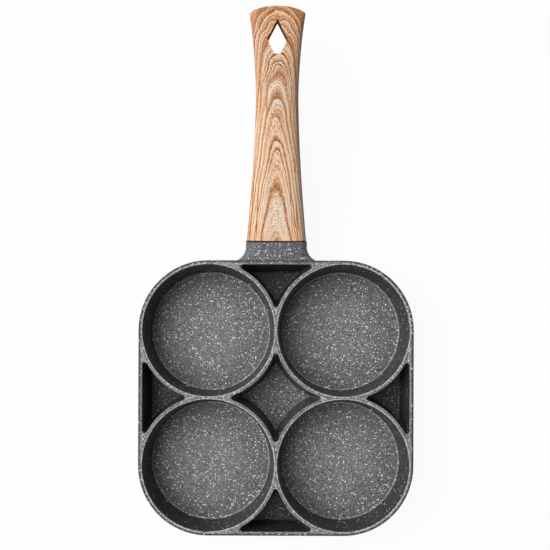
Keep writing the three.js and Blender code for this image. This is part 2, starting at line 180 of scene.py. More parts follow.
pad_radius = TURNED_PAD_DIAMETER / 2
face_radius = pad_radius - PAD_CHAMFER
pad_stack = [(pad_radius, TURNED_PAD_STEP + OVERLAP), (pad_radius, PAD_CHAMFER), (face_radius, 0.0)]
ring_count = int(face_radius / RING_PITCH) - 1
for ring in range(ring_count):
    ridge = face_radius - RING_PITCH * (ring + 1)
    pad_stack += [(ridge + RING_PITCH / 2, RING_DEPTH), (ridge, 0.0)]
turned_pad = skin("turned_pad", [lay_flat(circle(r, PAD_STEPS), z) for r, z in pad_stack])
print("turned rings:", ring_count)

# %% [markdown]
# The neck grows out of the rear wall and rises at the handle's angle. Where it leaves the wall it spreads
# to both sides and downwards, like a tree at its foot, because a sharp inner corner would crack in a
# casting. A bevel has one width all round, but this flare is wider at the sides than below. So each point
# of the shoulder's outline is carried straight back to the leaning wall and spread there on a quarter arc.

# %% The neck
HANDLE_RISE = math.radians(12)
NECK_LENGTH = 13.0
NECK_FLARE = 11.0
NECK_UNDER_FLARE = 4.0
NECK_STEP = 0.5
GRIP_ROOT_WIDTH = 41.4
GRIP_ROOT_THICKNESS = 20.0
GRIP_ROOT_SQUARENESS = 4.0
NECK_SECTION_STEPS = 72
FLARE_STEPS = 14

neck_half_width = GRIP_ROOT_WIDTH / 2 + NECK_STEP
neck_half_thickness = GRIP_ROOT_THICKNESS / 2 + NECK_STEP
neck_start = Vector((0, half_side - RIM_OUTER_ROUND, rim_height))
handle_axis = Vector((0, math.cos(HANDLE_RISE), math.sin(HANDLE_RISE)))
handle_up = Vector((0, -math.sin(HANDLE_RISE), math.cos(HANDLE_RISE)))
shoulder = neck_start + NECK_LENGTH * handle_axis - neck_half_thickness * handle_up


def section(squareness, steps):
    """An outline between an ellipse and a rectangle, on a unit square."""
    power = 2 / squareness
    points = []
    for i in range(steps):
        turn = 2 * math.pi * i / steps
        across, up = math.cos(turn), math.sin(turn)
        points.append((math.copysign(abs(across) ** power, across), math.copysign(abs(up) ** power, up)))
    return points


def on_handle(x, along, up):
    """A point given along the handle, from the shoulder, as a point of the pan."""
    return Vector((x, 0, 0)) + shoulder + along * handle_axis + up * handle_up


def neck_outlines():
    lean = math.tan(OUTER_DRAFT)
    rails = []
    for x, up in section(GRIP_ROOT_SQUARENESS, NECK_SECTION_STEPS):
        edge = on_handle(x * neck_half_width, 0, up * neck_half_thickness)
        gap = edge.y - half_side + (rim_height - edge.z) * lean
        run = gap / (handle_axis.y - handle_axis.z * lean)
        rails.append((edge, run, Vector((x * NECK_FLARE, 0, min(up, 0) * NECK_UNDER_FLARE))))
    outlines = [[edge - (run + OUTER_WALL / 2) * handle_axis + spread for edge, run, spread in rails]]
    for a in share(0, QUARTER, FLARE_STEPS):
        outline = []
        for edge, run, spread in rails:
            back = run - min(run, NECK_FLARE) * (1 - math.cos(a))
            outline.append(edge - back * handle_axis + spread * (1 - math.sin(a)))
        outlines.append(outline)
    return outlines + [[edge for edge, run, spread in rails]]


neck = skin("neck", neck_outlines())
print("shoulder of the neck at", [round(v, 1) for v in shoulder], "mm")

# %% [markdown]
# The tang is a tongue of the same casting that sits inside the grip. A plain bar would hold it as well,
# but with a little taper the tang slides in easily and comes free of its mould. One function draws the
# tang and, with a gap all round, the socket that takes it.

# %% The tang
TANG_LENGTH = 32.0
TANG_WIDTH = 21.0
TANG_THICKNESS = 10.0
TANG_CORNER = 2.5
TANG_DRAFT = math.radians(1.5)
TANG_CHAMFER = 1.0


def tang_outlines(first, last, gap, chamfer):
    outlines = []
    for along, inset in ((first, 0.0), (last - chamfer, 0.0), (last, chamfer)):
        shrink = max(along, 0) * math.tan(TANG_DRAFT) + inset - gap
        half_width, half_thickness = TANG_WIDTH / 2 - shrink, TANG_THICKNESS / 2 - shrink
        points = rounded_rectangle(half_width, half_thickness, TANG_CORNER - inset + gap, ROUND_STEPS)
        outlines.append([on_handle(x, along, up) for x, up in points])
    return outlines


tang = skin("tang", tang_outlines(-OVERLAP, TANG_LENGTH, 0.0, TANG_CHAMFER))
print("tang:", TANG_LENGTH, "mm long")

# %% [markdown]
# A cup is a leaning wall with a round at its rim and a fillet at its floor. A cylinder with bevelled ends
# would come close, but it has no draft, and the round and the fillet need different sizes. Each cup is
# made as a plug of solid metal first and taken out of the casting later, as a core does in the mould.

# %% The cups
CAVITY_DRAFT = math.radians(5)
RIM_INNER_ROUND = 0.6
FLOOR_FILLET = 1.5
CUP_STEPS = 144


def cavity_profile():
    wall_height = CUP_DEPTH - RIM_INNER_ROUND * (1 - math.sin(CAVITY_DRAFT))
    foot = wall_height * math.tan(CAVITY_DRAFT) + FLOOR_FILLET * math.tan((QUARTER - CAVITY_DRAFT) / 2)
    centre, wall = (foot, FLOOR_THICKNESS + FLOOR_FILLET), 2 * QUARTER + CAVITY_DRAFT
    profile = arc(centre, FLOOR_FILLET, 3 * QUARTER, wall, ROUND_STEPS)
    centre = (-RIM_INNER_ROUND, rim_height - RIM_INNER_ROUND)
    profile += arc(centre, RIM_INNER_ROUND, CAVITY_DRAFT, QUARTER, ROUND_STEPS)
    return profile + [(-RIM_INNER_ROUND, rim_height + OVERLAP)]


def cup_plug(x, y):
    outlines = []
    for inset, height in cavity_profile():
        outlines.append(lay_flat(circle(cup_radius - inset, CUP_STEPS, (x, y)), height))
    return skin("cup_plug", outlines)


signs = (-1, 1)
plugs = [cup_plug(sx * cup_offset, sy * cup_offset) for sx in signs for sy in signs]
print("cups:", len(plugs), "each", CUP_DIAMETER, "mm across the mouth")

# %% [markdown]
# The five pockets between the cups have the same wall, but their outlines are made of arcs: the ring walls
# of the cups bound them, and a small arc rounds every tip. They could be what is left when rings are added
# to an empty tray, but then the tips would be knife-sharp. Worked out as arcs, the rounds stay tangent at
# every height of the leaning wall.

# %% The pockets
RING_WALL = 2.6
POCKET_TIP_RADIUS = 1.8
RING_STEPS = 24
TIP_STEPS = 10

ring_radius = cup_radius + RING_WALL
cup_centre = (cup_offset, cup_offset)


def turned(point, quarters):
    x, y = point
    for _ in range(quarters):
        x, y = -y, x
    return x, y


def side_pocket(inset):
    """The pocket at the right-hand wall: its upper half is drawn and then mirrored."""
    ring = ring_radius + inset
    reach = ring + POCKET_TIP_RADIUS
    inner = (cup_offset + math.sqrt(reach**2 - cup_offset**2), 0.0)
    outer_x = cup_offset + cup_radius - inset - POCKET_TIP_RADIUS
    outer = (outer_x, cup_offset - math.sqrt(reach**2 - (outer_x - cup_offset) ** 2))
    from_inner = math.atan2(inner[1] - cup_offset, inner[0] - cup_offset)
    from_outer = math.atan2(outer[1] - cup_offset, outer[0] - cup_offset)
    upper = arc(inner, POCKET_TIP_RADIUS, math.pi, from_inner + math.pi, TIP_STEPS // 2)
    upper += arc(cup_centre, ring, from_inner, from_outer, RING_STEPS)[1:]
    upper += arc(outer, POCKET_TIP_RADIUS, from_outer + math.pi, 0, TIP_STEPS)[1:]
    return [(x, -y) for x, y in upper] + upper[:0:-1]


def middle_pocket(inset):
    """The pocket in the middle: one quarter is drawn and then turned."""
    ring = ring_radius + inset
    reach = ring + POCKET_TIP_RADIUS
    tip = cup_offset - math.sqrt(reach**2 - cup_offset**2)
    lean = math.atan2(cup_offset, cup_offset - tip)
    points = arc((tip, 0), POCKET_TIP_RADIUS, 0, lean, TIP_STEPS // 2)
    points += arc(cup_centre, ring, lean + 2 * QUARTER, 3 * QUARTER - lean, RING_STEPS)[1:]
    points += arc((0, tip), POCKET_TIP_RADIUS, QUARTER - lean, QUARTER, TIP_STEPS // 2)[1:-1]
    return [turned(point, quarters) for quarters in range(4) for point in points]


def pocket_plug(outline, quarters=0):
    outlines = []
    for inset, height in cavity_profile():
        outlines.append(lay_flat([turned(point, quarters) for point in outline(inset)], height))
    return skin("pocket_plug", outlines)


plugs += [pocket_plug(side_pocket, quarters) for quarters in range(4)]
plugs.append(pocket_plug(middle_pocket))
print("cavities to take out:", len(plugs))

# %% [markdown]
# Now the casting comes together: base, neck and tang are added, and the nine plugs and the tapped hole for
# the screw are taken out. Blender's Boolean modifier does this, and its manifold solver is fast on closed
# pieces. Soft shading would smear light over the flat rim, so edges over a set angle stay crisp and a
# weighted-normal modifier lets the large flat faces keep their own direction.

# %% Join and cut the casting
SCREW_REACH = 18.0
SCREW_RADIUS = 2.5
SCREW_GAP = 0.3
TAP_RUNOUT = 3.0
SCREW_HOLE_STEPS = 32
CRISP_ANGLE = math.radians(38)
WELD_DISTANCE = 0.002


def apply_modifier(piece, modifier):
    bpy.context.view_layer.objects.active = piece
    bpy.ops.object.modifier_apply(modifier=modifier.name)


def combine(piece, tools, operation):
    """Adds or takes out other pieces, which are used up, and welds points that a cut leaves on one spot."""
    for tool in tools:
        step = piece.modifiers.new("combine", "BOOLEAN")
        step.operation = operation
        step.solver = "MANIFOLD"
        step.object = tool
        apply_modifier(piece, step)
        bpy.data.objects.remove(tool)
    mesh = bmesh.new()
    mesh.from_mesh(piece.data)
    bmesh.ops.remove_doubles(mesh, verts=mesh.verts, dist=WELD_DISTANCE * MM)
    bmesh.ops.dissolve_degenerate(mesh, edges=mesh.edges, dist=WELD_DISTANCE * MM)
    mesh.to_mesh(piece.data)
    mesh.free()
    piece.data.materials.clear()


def rod_on_handle(radius, first, last):
    """A round rod along the handle, used to cut holes."""
    ring = circle(radius, SCREW_HOLE_STEPS)
    return skin("rod", [[on_handle(x, along, up) for x, up in ring] for along in (first, last)])


def soften(piece):
    """Smooth shading, with crisp edges and with flat faces that stay flat."""
    piece.data.shade_smooth()
    piece.data.set_sharp_from_angle(angle=CRISP_ANGLE)
    weigh = piece.modifiers.new("weigh", "WEIGHTED_NORMAL")
    weigh.keep_sharp = True
    apply_modifier(piece, weigh)


bore_radius = SCREW_RADIUS + SCREW_GAP
screw_point = TANG_LENGTH - SCREW_REACH
tapped_hole = rod_on_handle(bore_radius, screw_point - TAP_RUNOUT, TANG_LENGTH + OVERLAP)
combine(cast_pan, [turned_pad, neck, tang], "UNION")
combine(cast_pan, plugs + [tapped_hole], "DIFFERENCE")
soften(cast_pan)
print("casting:", len(cast_pan.data.polygons), "faces")

# %% [markdown]
# The grip is moulded plastic. Seen from above it is broad at the root, narrow at the waist and broad again
# at the rounded end, and its section changes from nearly square to nearly round and back. Power curves
# give these flares, so the outline has no kinks. Towards the end the sections bend, so that the last one
# follows the arc of the end. A lathe can't make this, because the section isn't round.

# %% The grip's blank
GRIP_LENGTH = 152.0
GRIP_WAIST_WIDTH = 28.6
GRIP_END_WIDTH = 36.9
GRIP_WAIST_FROM_END = 57.0
GRIP_WAIST_THICKNESS = 17.0
GRIP_END_THICKNESS = 15.5
GRIP_ROOT_CURVE = 1.53
GRIP_END_CURVE = 1.86
GRIP_WAIST_SQUARENESS = 2.8
GRIP_END_SQUARENESS = 4.5
GRIP_END_RADIUS = 46.0
GRIP_BOW = 1.2
GRIP_ROOT_ROUND = 0.5
GRIP_END_ROUND = 1.0
SEAT_GAP = 0.3
GRIP_SECTION_STEPS = 96
GRIP_SPAN_STEPS = 48

grip_root = SEAT_GAP
grip_end = grip_root + GRIP_LENGTH
grip_waist = grip_end - GRIP_WAIST_FROM_END


def between(first, last, part):
    return first + (last - first) * part


def grip_outline(along, inset):
    front = along < grip_waist
    if front:
        part = (grip_waist - along) / (grip_waist - grip_root)
        flare = part**GRIP_ROOT_CURVE
        width, thickness, squareness = GRIP_ROOT_WIDTH, GRIP_ROOT_THICKNESS, GRIP_ROOT_SQUARENESS
    else:
        part = (along - grip_waist) / (grip_end - grip_waist)
        flare = part**GRIP_END_CURVE
        width, thickness, squareness = GRIP_END_WIDTH, GRIP_END_THICKNESS, GRIP_END_SQUARENESS
    half_width = between(GRIP_WAIST_WIDTH, width, flare) / 2 - inset
    half_thickness = between(GRIP_WAIST_THICKNESS, thickness, flare) / 2 - inset
    length_part = (along - grip_root) / GRIP_LENGTH
    rise = 4 * GRIP_BOW * length_part * (1 - length_part)
    bend = 0 if front else part**2
    points = []
    for x, up in section(between(GRIP_WAIST_SQUARENESS, squareness, part), GRIP_SECTION_STEPS):
        sag = GRIP_END_RADIUS - math.sqrt(GRIP_END_RADIUS**2 - (x * half_width) ** 2)
        points.append(on_handle(x * half_width, along - bend * sag, rise + up * half_thickness))
    return points


def grip_outlines():
    first, last = grip_root + GRIP_ROOT_ROUND, grip_end - GRIP_END_ROUND
    stations = arc((first, GRIP_ROOT_ROUND), GRIP_ROOT_ROUND, 2 * QUARTER, 3 * QUARTER, ROUND_STEPS)
    stations += [(along, 0.0) for along in share(first, grip_waist, GRIP_SPAN_STEPS)[1:]]
    stations += [(along, 0.0) for along in share(grip_waist, last, GRIP_SPAN_STEPS)[1:-1]]
    stations += arc((last, GRIP_END_ROUND), GRIP_END_ROUND, -QUARTER, 0, ROUND_STEPS)
    return [grip_outline(along, inset) for along, inset in stations]


wood_grip = skin("wood_grip", grip_outlines(), centre_line=True)
print("grip blank:", len(wood_grip.data.polygons), "faces")

# %% [markdown]
# Four cuts finish the grip: the socket for the tang, the bore and the wider channel for the screw and its
# washers, and the hang hole. The hole is a diamond whose corner nearest the pan is cut off flat, where the
# screwdriver goes in. A prism with five corners cuts it, and its walls get their own finish further on.

# %% Cut the grip
HANG_HOLE_LENGTH = 21.5
HANG_HOLE_WIDTH = 13.6
HANG_HOLE_FLAT = 4.1
HANG_HOLE_WIDEST = 12.3
HANG_HOLE_MARGIN = 8.3
SEAT_WALL = 6.0
SLIDE_GAP = 0.35
WASHER_DIAMETER = 9.0
CHANNEL_GAP = 0.4

hole_far = grip_end - HANG_HOLE_MARGIN
hole_widest = hole_far - HANG_HOLE_WIDEST
hole_near = hole_far - HANG_HOLE_LENGTH
socket_end = TANG_LENGTH + 2 * SEAT_GAP
seat_face = socket_end + SEAT_WALL
channel_radius = WASHER_DIAMETER / 2 + CHANNEL_GAP


def hang_hole_prism():
    side, flat = HANG_HOLE_WIDTH / 2, HANG_HOLE_FLAT / 2
    corners = [(0, hole_far), (-side, hole_widest), (-flat, hole_near)]
    corners += [(flat, hole_near), (side, hole_widest)]
    heights = (-GRIP_ROOT_THICKNESS, GRIP_ROOT_THICKNESS)
    return skin("hang_hole", [[on_handle(x, along, up) for x, along in corners] for up in heights])


combine(wood_grip, [
    skin("socket", tang_outlines(-OVERLAP, socket_end, SLIDE_GAP, 0.0)),
    rod_on_handle(bore_radius, socket_end - OVERLAP, seat_face + OVERLAP),
    rod_on_handle(channel_radius, seat_face, hole_widest),
    hang_hole_prism(),
], "DIFFERENCE")
soften(wood_grip)
print("grip:", len(wood_grip.data.polygons), "faces")

# %% [markdown]
# A finish is a small network of nodes. It could be joined up by hand in the node editor, but a long
# network is easier to read as sums, so a few helpers add a node and join its inputs. What varies over a
# surface goes through nodes, and what is the same all over is set on the shader itself.

# %% Helpers for finishes


def add(kind, inputs, **settings):
    """One node, in the same tree as the nodes that feed it. An input is a value or another node's output."""
    outputs = {key: value for key, value in inputs.items() if isinstance(value, bpy.types.NodeSocket)}
    tree = next(iter(outputs.values())).id_data
    made = tree.nodes.new("ShaderNode" + kind)
    for name, value in settings.items():
        setattr(made, name, value)
    for key, value in inputs.items():
        if key in outputs:
            tree.links.new(value, made.inputs[key])
        else:
            made.inputs[key].default_value = value
    return made


def new_finish(name):
    """A finish, with its shader and the place on the piece."""
    finish = bpy.data.materials.new(name)
    finish.use_nodes = True
    nodes = finish.node_tree.nodes
    return finish, nodes["Principled BSDF"], nodes.new("ShaderNodeTexCoord").outputs["Object"]


def reckon(operation, first, second=0.0, clamp=False):
    return add("Math", {0: first, 1: second}, operation=operation, use_clamp=clamp).outputs[0]


def times(first, *others):
    for other in others:
        first = reckon("MULTIPLY", first, other)
    return first


def ease(value, low, high, at_low=0.0, at_high=1.0, way="SMOOTHSTEP"):
    """Goes from one value to another while the input goes from low to high."""
    inputs = {"Value": value, "From Min": low, "From Max": high, "To Min": at_low, "To Max": at_high}
    return add("MapRange", inputs, interpolation_type=way).outputs["Result"]


def noise(place, scale, detail):
    return add("TexNoise", {"Vector": place, "Scale": scale, "Detail": detail}).outputs[0]


def paint(amount, under, over):
    """Lays one colour over another by an amount from 0 to 1."""
    return add("Mix", {0: amount, 6: under, 7: over}, data_type="RGBA").outputs[2]


def paint_layers(colour, layers):
    """Lays colours over a first one, in order. Each layer is an amount and a colour."""
    for amount, over in layers:
        colour = paint(amount, colour, over)
    return colour


def dress(shader, colour, roughness, relief, strength, depth, specular=0.5, metallic=0.0):
    """Joins colour, roughness and relief to the shader. The relief's depth is in millimetres."""
    shader.inputs["Specular IOR Level"].default_value = specular
    shader.inputs["Metallic"].default_value = metallic
    bump = add("Bump", {"Height": relief, "Strength": strength, "Distance": depth * MM})
    for name, value in (("Base Color", colour), ("Roughness", roughness), ("Normal", bump.outputs[0])):
        shader.id_data.links.new(value, shader.inputs[name])


def srgb(red, green, blue):
    """A colour as a screen shows it, from 0 to 255, turned into the linear values that a shader takes."""
    parts = [value / 255 for value in (red, green, blue)]
    return tuple(p / 12.92 if p <= 0.04045 else ((p + 0.055) / 1.055) ** 2.4 for p in parts) + (1.0,)


print("mid grey on a screen is", round(srgb(128, 128, 128)[0], 3), "in a shader")

# %% [markdown]
# The coating is sprayed dark grey, and while it is wet a second gun spits pale and dark specks onto it.
# Noise would be the usual way to mottle it, but noise has no edges, and specks do. Voronoi cells in space
# give them: most cells are a little lighter or darker than the coat, and a few are far darker or paler.
# Another layer draws a round pale flake in the middle of some cells, and most of these flakes are small.

# %% Specks and flakes
SPECK_SPACING = 0.5
# How bright a speck is against the coat, over an even draw from 0 to 1
SPECK_LEVELS = [(0.0, 0.0), (0.14, 0.3), (0.3, 0.84), (0.7, 1.06), (0.9, 1.3), (0.97, 1.7), (1.0, 2.2)]
FLAKE_SMALLEST = 0.11
FLAKE_RARITY = 8.0
FLAKE_SOFT_EDGE = 0.9
FLAKE_FADE_IN = 0.1

speck_brightest = SPECK_LEVELS[-1][1]


def spray_cells(place, spacing, dimensions):
    """Small cells, each with an even draw from 0 to 1, and the distance from a cell's middle."""
    inputs = {"Vector": place, "Scale": 1 / (spacing * MM), "Randomness": 1.0}
    cells = add("TexVoronoi", inputs, voronoi_dimensions=dimensions)
    draw = add("SeparateColor", {0: cells.outputs["Color"]}).outputs[0]
    return draw, cells.outputs["Distance"]


def speck_level(place):
    """A brightness for each small cell of the coat."""
    draw, _ = spray_cells(place, SPECK_SPACING, "3D")
    ramp = add("ValToRGB", {0: draw})
    elements = ramp.color_ramp.elements
    while len(elements) < len(SPECK_LEVELS):
        elements.new(0.5)
    for element, (chance, level) in zip(elements, SPECK_LEVELS):
        element.position = chance
        element.color = (level / speck_brightest,) * 3 + (1.0,)
    return times(ramp.outputs["Color"], speck_brightest)


def pale_flakes(place, spacing, growth, empty, dimensions):
    """Round pale flakes. A share of the cells stays empty, so that the flakes don't line up."""
    draw, distance = spray_cells(place, spacing, dimensions)
    grown = times(reckon("POWER", draw, FLAKE_RARITY), growth / spacing)
    radius = reckon("ADD", grown, FLAKE_SMALLEST / spacing)
    flake = ease(reckon("DIVIDE", distance, radius), FLAKE_SOFT_EDGE, 1.0, 1.0, 0.0)
    return times(flake, ease(draw, empty, empty + FLAKE_FADE_IN))


print("specks every", SPECK_SPACING, "mm, flakes from", FLAKE_SMALLEST, "mm")

# %% [markdown]
# Where the coat is worn depends on how far a spot is from the edges of the cups and pockets. A map on an
# unwrapped mesh could hold these distances. It is simpler to fold the plan into one quarter and to measure
# from the cup there, which serves all four cups and needs no map.

# %% Distances on the pan
floor_radius = cup_radius - cavity_profile()[0][0]


def ease_beside(distance, edge, band, at_low=0.0, at_high=1.0):
    """Eases across a band of millimetres beside an edge."""
    return ease(distance, (edge + band[0]) * MM, (edge + band[1]) * MM, at_low, at_high)


def apart(distance, edge):
    return reckon("ABSOLUTE", reckon("SUBTRACT", distance, edge * MM))


def length_of(x, y):
    flat = add("CombineXYZ", {0: x, 1: y})
    return add("VectorMath", {0: flat.outputs[0]}, operation="LENGTH").outputs["Value"]


def cup_distances(spot):
    """Distances in plan from the nearest cup's centre, and from the square between the four centres."""
    sides = []
    for axis in ("X", "Y"):
        sides.append(reckon("SUBTRACT", reckon("ABSOLUTE", spot.outputs[axis]), cup_offset * MM))
    outward = [reckon("MAXIMUM", side, 0.0) for side in sides]
    return length_of(*sides), length_of(*outward)


print("cup floors:", round(2 * floor_radius, 1), "mm across")

# %% [markdown]
# The coat isn't the same all over. Floors, rim and neck each have their own grey, and the walls get a darker
# grey that is painted shade. Stacking and scouring rub the rims and the edges of the floors paler, and these
# pale bands are also a painted highlight. Painted shade darkens the floors towards their edges, the narrow
# side pockets and the rim's outer edge. A painter would mask these places off by hand, or paint them on an
# unwrapped copy. Here each is found by how a face lies, how high it is and how far it is from the nearest
# cup's centre, so the places move with the sizes above.

# %% Places on the coat
LEVEL_FACING = (0.90, 0.99)
EDGE_FACING = (0.3, 0.6)
INSIDE_FACING = (-0.03, 0.04)
# The pale edge bands are partly wear and partly painted highlight
FLOOR_EDGE_WEAR_AND_HIGHLIGHT = 0.6
POCKET_EDGE_WEAR_AND_HIGHLIGHT = 0.45
# Bands of millimetres beside the rim, the rear wall, the cups, the pockets, the outer edge and the floors
RIM_TOP_BAND = (-0.8, -0.3)
NECK_BAND = (-1.5, 1.0)
RIM_EDGE_BAND = (0.5, 1.3)
POCKET_EDGE_BAND = (0.3, 0.9)
POCKET_BAND = (-0.5, 0.5)
# Painted shade on the rim's outer edge lies in this band
OUTER_EDGE_SHADE_BAND = (-1.7, -1.0)
FLOOR_EDGE_BAND = (0.1, 0.5)
# Millimetres from the middle of the pan, and from the middle of a cup
SIDE_POCKETS_BAND = (40.0, 55.0)
# Painted shade on the floors grows from this distance out to the floor's edge
FLOOR_MIDDLE = 12.0


def coat_places(place, facing):
    """How far a spot belongs to each place on the coat, from 0 to 1."""
    spot = add("SeparateXYZ", {0: place})
    out, outward = cup_distances(spot)
    high = ease_beside(spot.outputs["Z"], rim_height, RIM_TOP_BAND)
    neck = ease_beside(spot.outputs["Y"], half_side, NECK_BAND)
    rim = times(high, reckon("SUBTRACT", 1.0, neck))

    to_pocket = reckon("MINIMUM", apart(out, ring_radius), apart(outward, cup_radius))
    # pale bands of wear and painted highlight along pocket edges, rims beside the cups and floor edges
    pocket_edge = ease_beside(to_pocket, 0.0, POCKET_EDGE_BAND, POCKET_EDGE_WEAR_AND_HIGHLIGHT, 0.0)
    # painted shade on the rim's outer edge
    outer_edge_shade = ease_beside(outward, cup_radius + OUTER_WALL, OUTER_EDGE_SHADE_BAND)
    rim_edge = ease_beside(out, cup_radius, RIM_EDGE_BAND, 1.0, 0.0)
    floor_edge = ease_beside(apart(out, floor_radius), 0.0, FLOOR_EDGE_BAND, FLOOR_EDGE_WEAR_AND_HIGHLIGHT, 0.0)
    low = reckon("SUBTRACT", 1.0, high)
    floor_edge = times(low, ease(facing, *EDGE_FACING), floor_edge)

    from_middle = add("VectorMath", {0: place}, operation="LENGTH").outputs["Value"]
    at_side = ease_beside(from_middle, 0.0, SIDE_POCKETS_BAND)
    above = reckon("MAXIMUM", high, neck)
    inside = reckon("SUBTRACT", ease(facing, *INSIDE_FACING), above, True)
    in_pocket = ease_beside(out, ring_radius, POCKET_BAND)
    return {
        "level": ease(facing, *LEVEL_FACING),
        "steep": ease(facing, *LEVEL_FACING, 1.0, 0.0),
        # painted shade towards the floors' edges
        "floor_edge_shade": ease(out, FLOOR_MIDDLE * MM, floor_radius * MM),
        # painted shade in the narrow side pockets
        "side_pocket": times(in_pocket, at_side, inside),
        "neck": neck,
        "rim": rim,
        "pocket_edge": times(high, pocket_edge),
        # painted shade on the rim's outer edge
        "outer_edge_shade": times(rim, outer_edge_shade),
        # wear and painted highlight
        "edge_wear_and_highlight": reckon("MAXIMUM", floor_edge, times(rim, rim_edge)),
    }


# The pale band on the rims is wear and painted highlight
print("worn rims reach", RIM_EDGE_BAND[1], "mm from the cups")

# %% [markdown]
# With the places known, the coat is painted in layers from the walls up, its specks brighten or darken it,
# and the flakes go on last. Several layers are painted light: painted shade on the walls, towards the
# floors' edges, in the side pockets and on the rim's outer edge, and pale bands of wear and painted
# highlight along the rims and the floors' edges. On level ground the flakes are sparse and drawn flat. On
# the walls they are drawn in space, because a flat pattern would smear down a wall. Painted shade darkens
# the narrow pockets at the sides and dims their flakes. A shallow orange peel, as sprayed paint has,
# varies the gloss.

# %% The speckled coating
COAT_FLOOR = srgb(124, 125, 127)
# Painted shade: the floors darken towards their edges
COAT_FLOOR_EDGE_SHADE = srgb(103, 104, 106)
# Painted shade: the walls are the floors' coat, painted a darker grey
COAT_WALL_SHADE = srgb(70, 71, 72)
# Painted shade in the narrow side pockets
COAT_POCKET_SHADE = srgb(54, 55, 56)
COAT_RIM = srgb(118, 119, 121)
# Painted shade on the rim's outer edge
COAT_OUTER_EDGE_SHADE = srgb(58, 59, 60)
# Pale edge bands: wear and painted highlight
COAT_WEAR_AND_HIGHLIGHT = srgb(180, 182, 183)
COAT_NECK = srgb(112, 113, 116)
FLAKE_PALE = srgb(250, 250, 250)
# Flakes: how far apart, how much the largest grow, and the share of cells that stay empty
LEVEL_FLAKES = (1.2, 0.42, 0.72)
WALL_FLAKES = (1.5, 0.52, 0.5)
# How much of the flakes shows in the painted shade of the side pockets
POCKET_SHADE_FLAKES = 0.4
PEEL_SIZE = 0.9
PEEL_SPAN = (0.25, 0.75)
COAT_ROUGHNESS = (0.42, 0.55)
SPECK_RELIEF = 0.15


def coat_flakes(place, on):
    level = pale_flakes(place, *LEVEL_FLAKES, "2D")
    walls = pale_flakes(place, *WALL_FLAKES, "3D")
    flakes = reckon("MAXIMUM", times(level, on["level"]), times(walls, on["steep"]))
    # The flakes are dimmed in the painted shade of the side pockets
    return times(flakes, ease(on["side_pocket"], 0.0, 1.0, 1.0, POCKET_SHADE_FLAKES))


def make_speckled_coating():
    finish, shader, place = new_finish("speckled_coating")
    facing = add("SeparateXYZ", {0: place.node.outputs["Normal"]}).outputs["Z"]
    on = coat_places(place, facing)
    # The floors are paler in the middle, with painted shade towards their edges
    floor = paint(on["floor_edge_shade"], COAT_FLOOR, COAT_FLOOR_EDGE_SHADE)
    # The first layer, the walls' grey, is painted shade
    colour = paint_layers(COAT_WALL_SHADE, [
        (on["level"], floor),
        # painted shade in the side pockets
        (on["side_pocket"], COAT_POCKET_SHADE),
        (on["neck"], COAT_NECK),
        (on["rim"], COAT_RIM),
        # wear and painted highlight along the pocket edges
        (on["pocket_edge"], COAT_WEAR_AND_HIGHLIGHT),
        # painted shade on the rim's outer edge
        (on["outer_edge_shade"], COAT_OUTER_EDGE_SHADE),
        # wear and painted highlight along the rims and floor edges
        (on["edge_wear_and_highlight"], COAT_WEAR_AND_HIGHLIGHT),
    ])
    level = speck_level(place)
    colour = add("VectorMath", {0: colour, "Scale": level}, operation="SCALE").outputs[0]
    colour = paint(coat_flakes(place, on), colour, FLAKE_PALE)

    peel = noise(place, 1 / (PEEL_SIZE * MM), detail=2.0)
    relief = reckon("ADD", peel, times(level, SPECK_RELIEF))
    roughness = ease(peel, *PEEL_SPAN, *COAT_ROUGHNESS)
    dress(shader, colour, roughness, relief, strength=0.15, depth=0.1, specular=0.2)
    return finish


speckled_coating = make_speckled_coating()
cast_pan.data.materials.append(speckled_coating)
print("coating nodes:", len(speckled_coating.node_tree.nodes))

# %% [markdown]
# The turned base is bare aluminium. Its rings are already in the mesh, so the finish only needs the
# streaks that the tool leaves along each ring. Noise that is read by the distance from the centre runs in
# rings by itself. The base's faces are picked by their height, and get this finish as the pan's second
# one.

# %% The bare turned base
# Most of what a noise texture gives lies in this span
NOISE_SPAN = (0.3, 0.7)
BARE_METAL = srgb(176, 178, 180)
BARE_METAL_DULL = srgb(136, 138, 141)
STREAK_SIZE = 0.8
SMEAR_SIZE = 25.0
STREAK_SHARE = 0.6
STREAK_SPAN = (0.35, 0.65)
BARE_ROUGHNESS = (0.28, 0.45)
BARE_MARGIN = 0.05


def line_noise(number, scale, detail, roughness=0.5):
    """Noise along one number, so that it draws lines where that number stays the same."""
    inputs = {"W": number, "Scale": scale, "Detail": detail, "Roughness": roughness}
    return add("TexNoise", inputs, noise_dimensions="1D").outputs[0]


def make_turned_metal():
    finish, shader, place = new_finish("turned_aluminium")
    spot = add("SeparateXYZ", {0: place})
    radius = length_of(spot.outputs["X"], spot.outputs["Y"])
    streaks = line_noise(radius, 1 / (STREAK_SIZE * MM), detail=4.0)
    smear = noise(place, 1 / (SMEAR_SIZE * MM), detail=4.0)
    mixed = reckon("ADD", times(streaks, STREAK_SHARE), times(smear, 1 - STREAK_SHARE))
    colour = paint(ease(mixed, *STREAK_SPAN), BARE_METAL_DULL, BARE_METAL)
    roughness = ease(mixed, *NOISE_SPAN, *BARE_ROUGHNESS)
    dress(shader, colour, roughness, streaks, strength=0.3, depth=0.05, metallic=1.0)
    return finish


def give_second_finish(piece, finish, chosen):
    """Gives a piece one more finish, on the faces that are chosen, and counts them."""
    piece.data.materials.append(finish)
    faces = [face for face in piece.data.polygons if chosen(face)]
    for face in faces:
        face.material_index = 1
    return len(faces)


def is_turned(face):
    return face.center.z < (TURNED_PAD_STEP - BARE_MARGIN) * MM


print("bare faces under the pan:", give_second_finish(cast_pan, make_turned_metal(), is_turned))

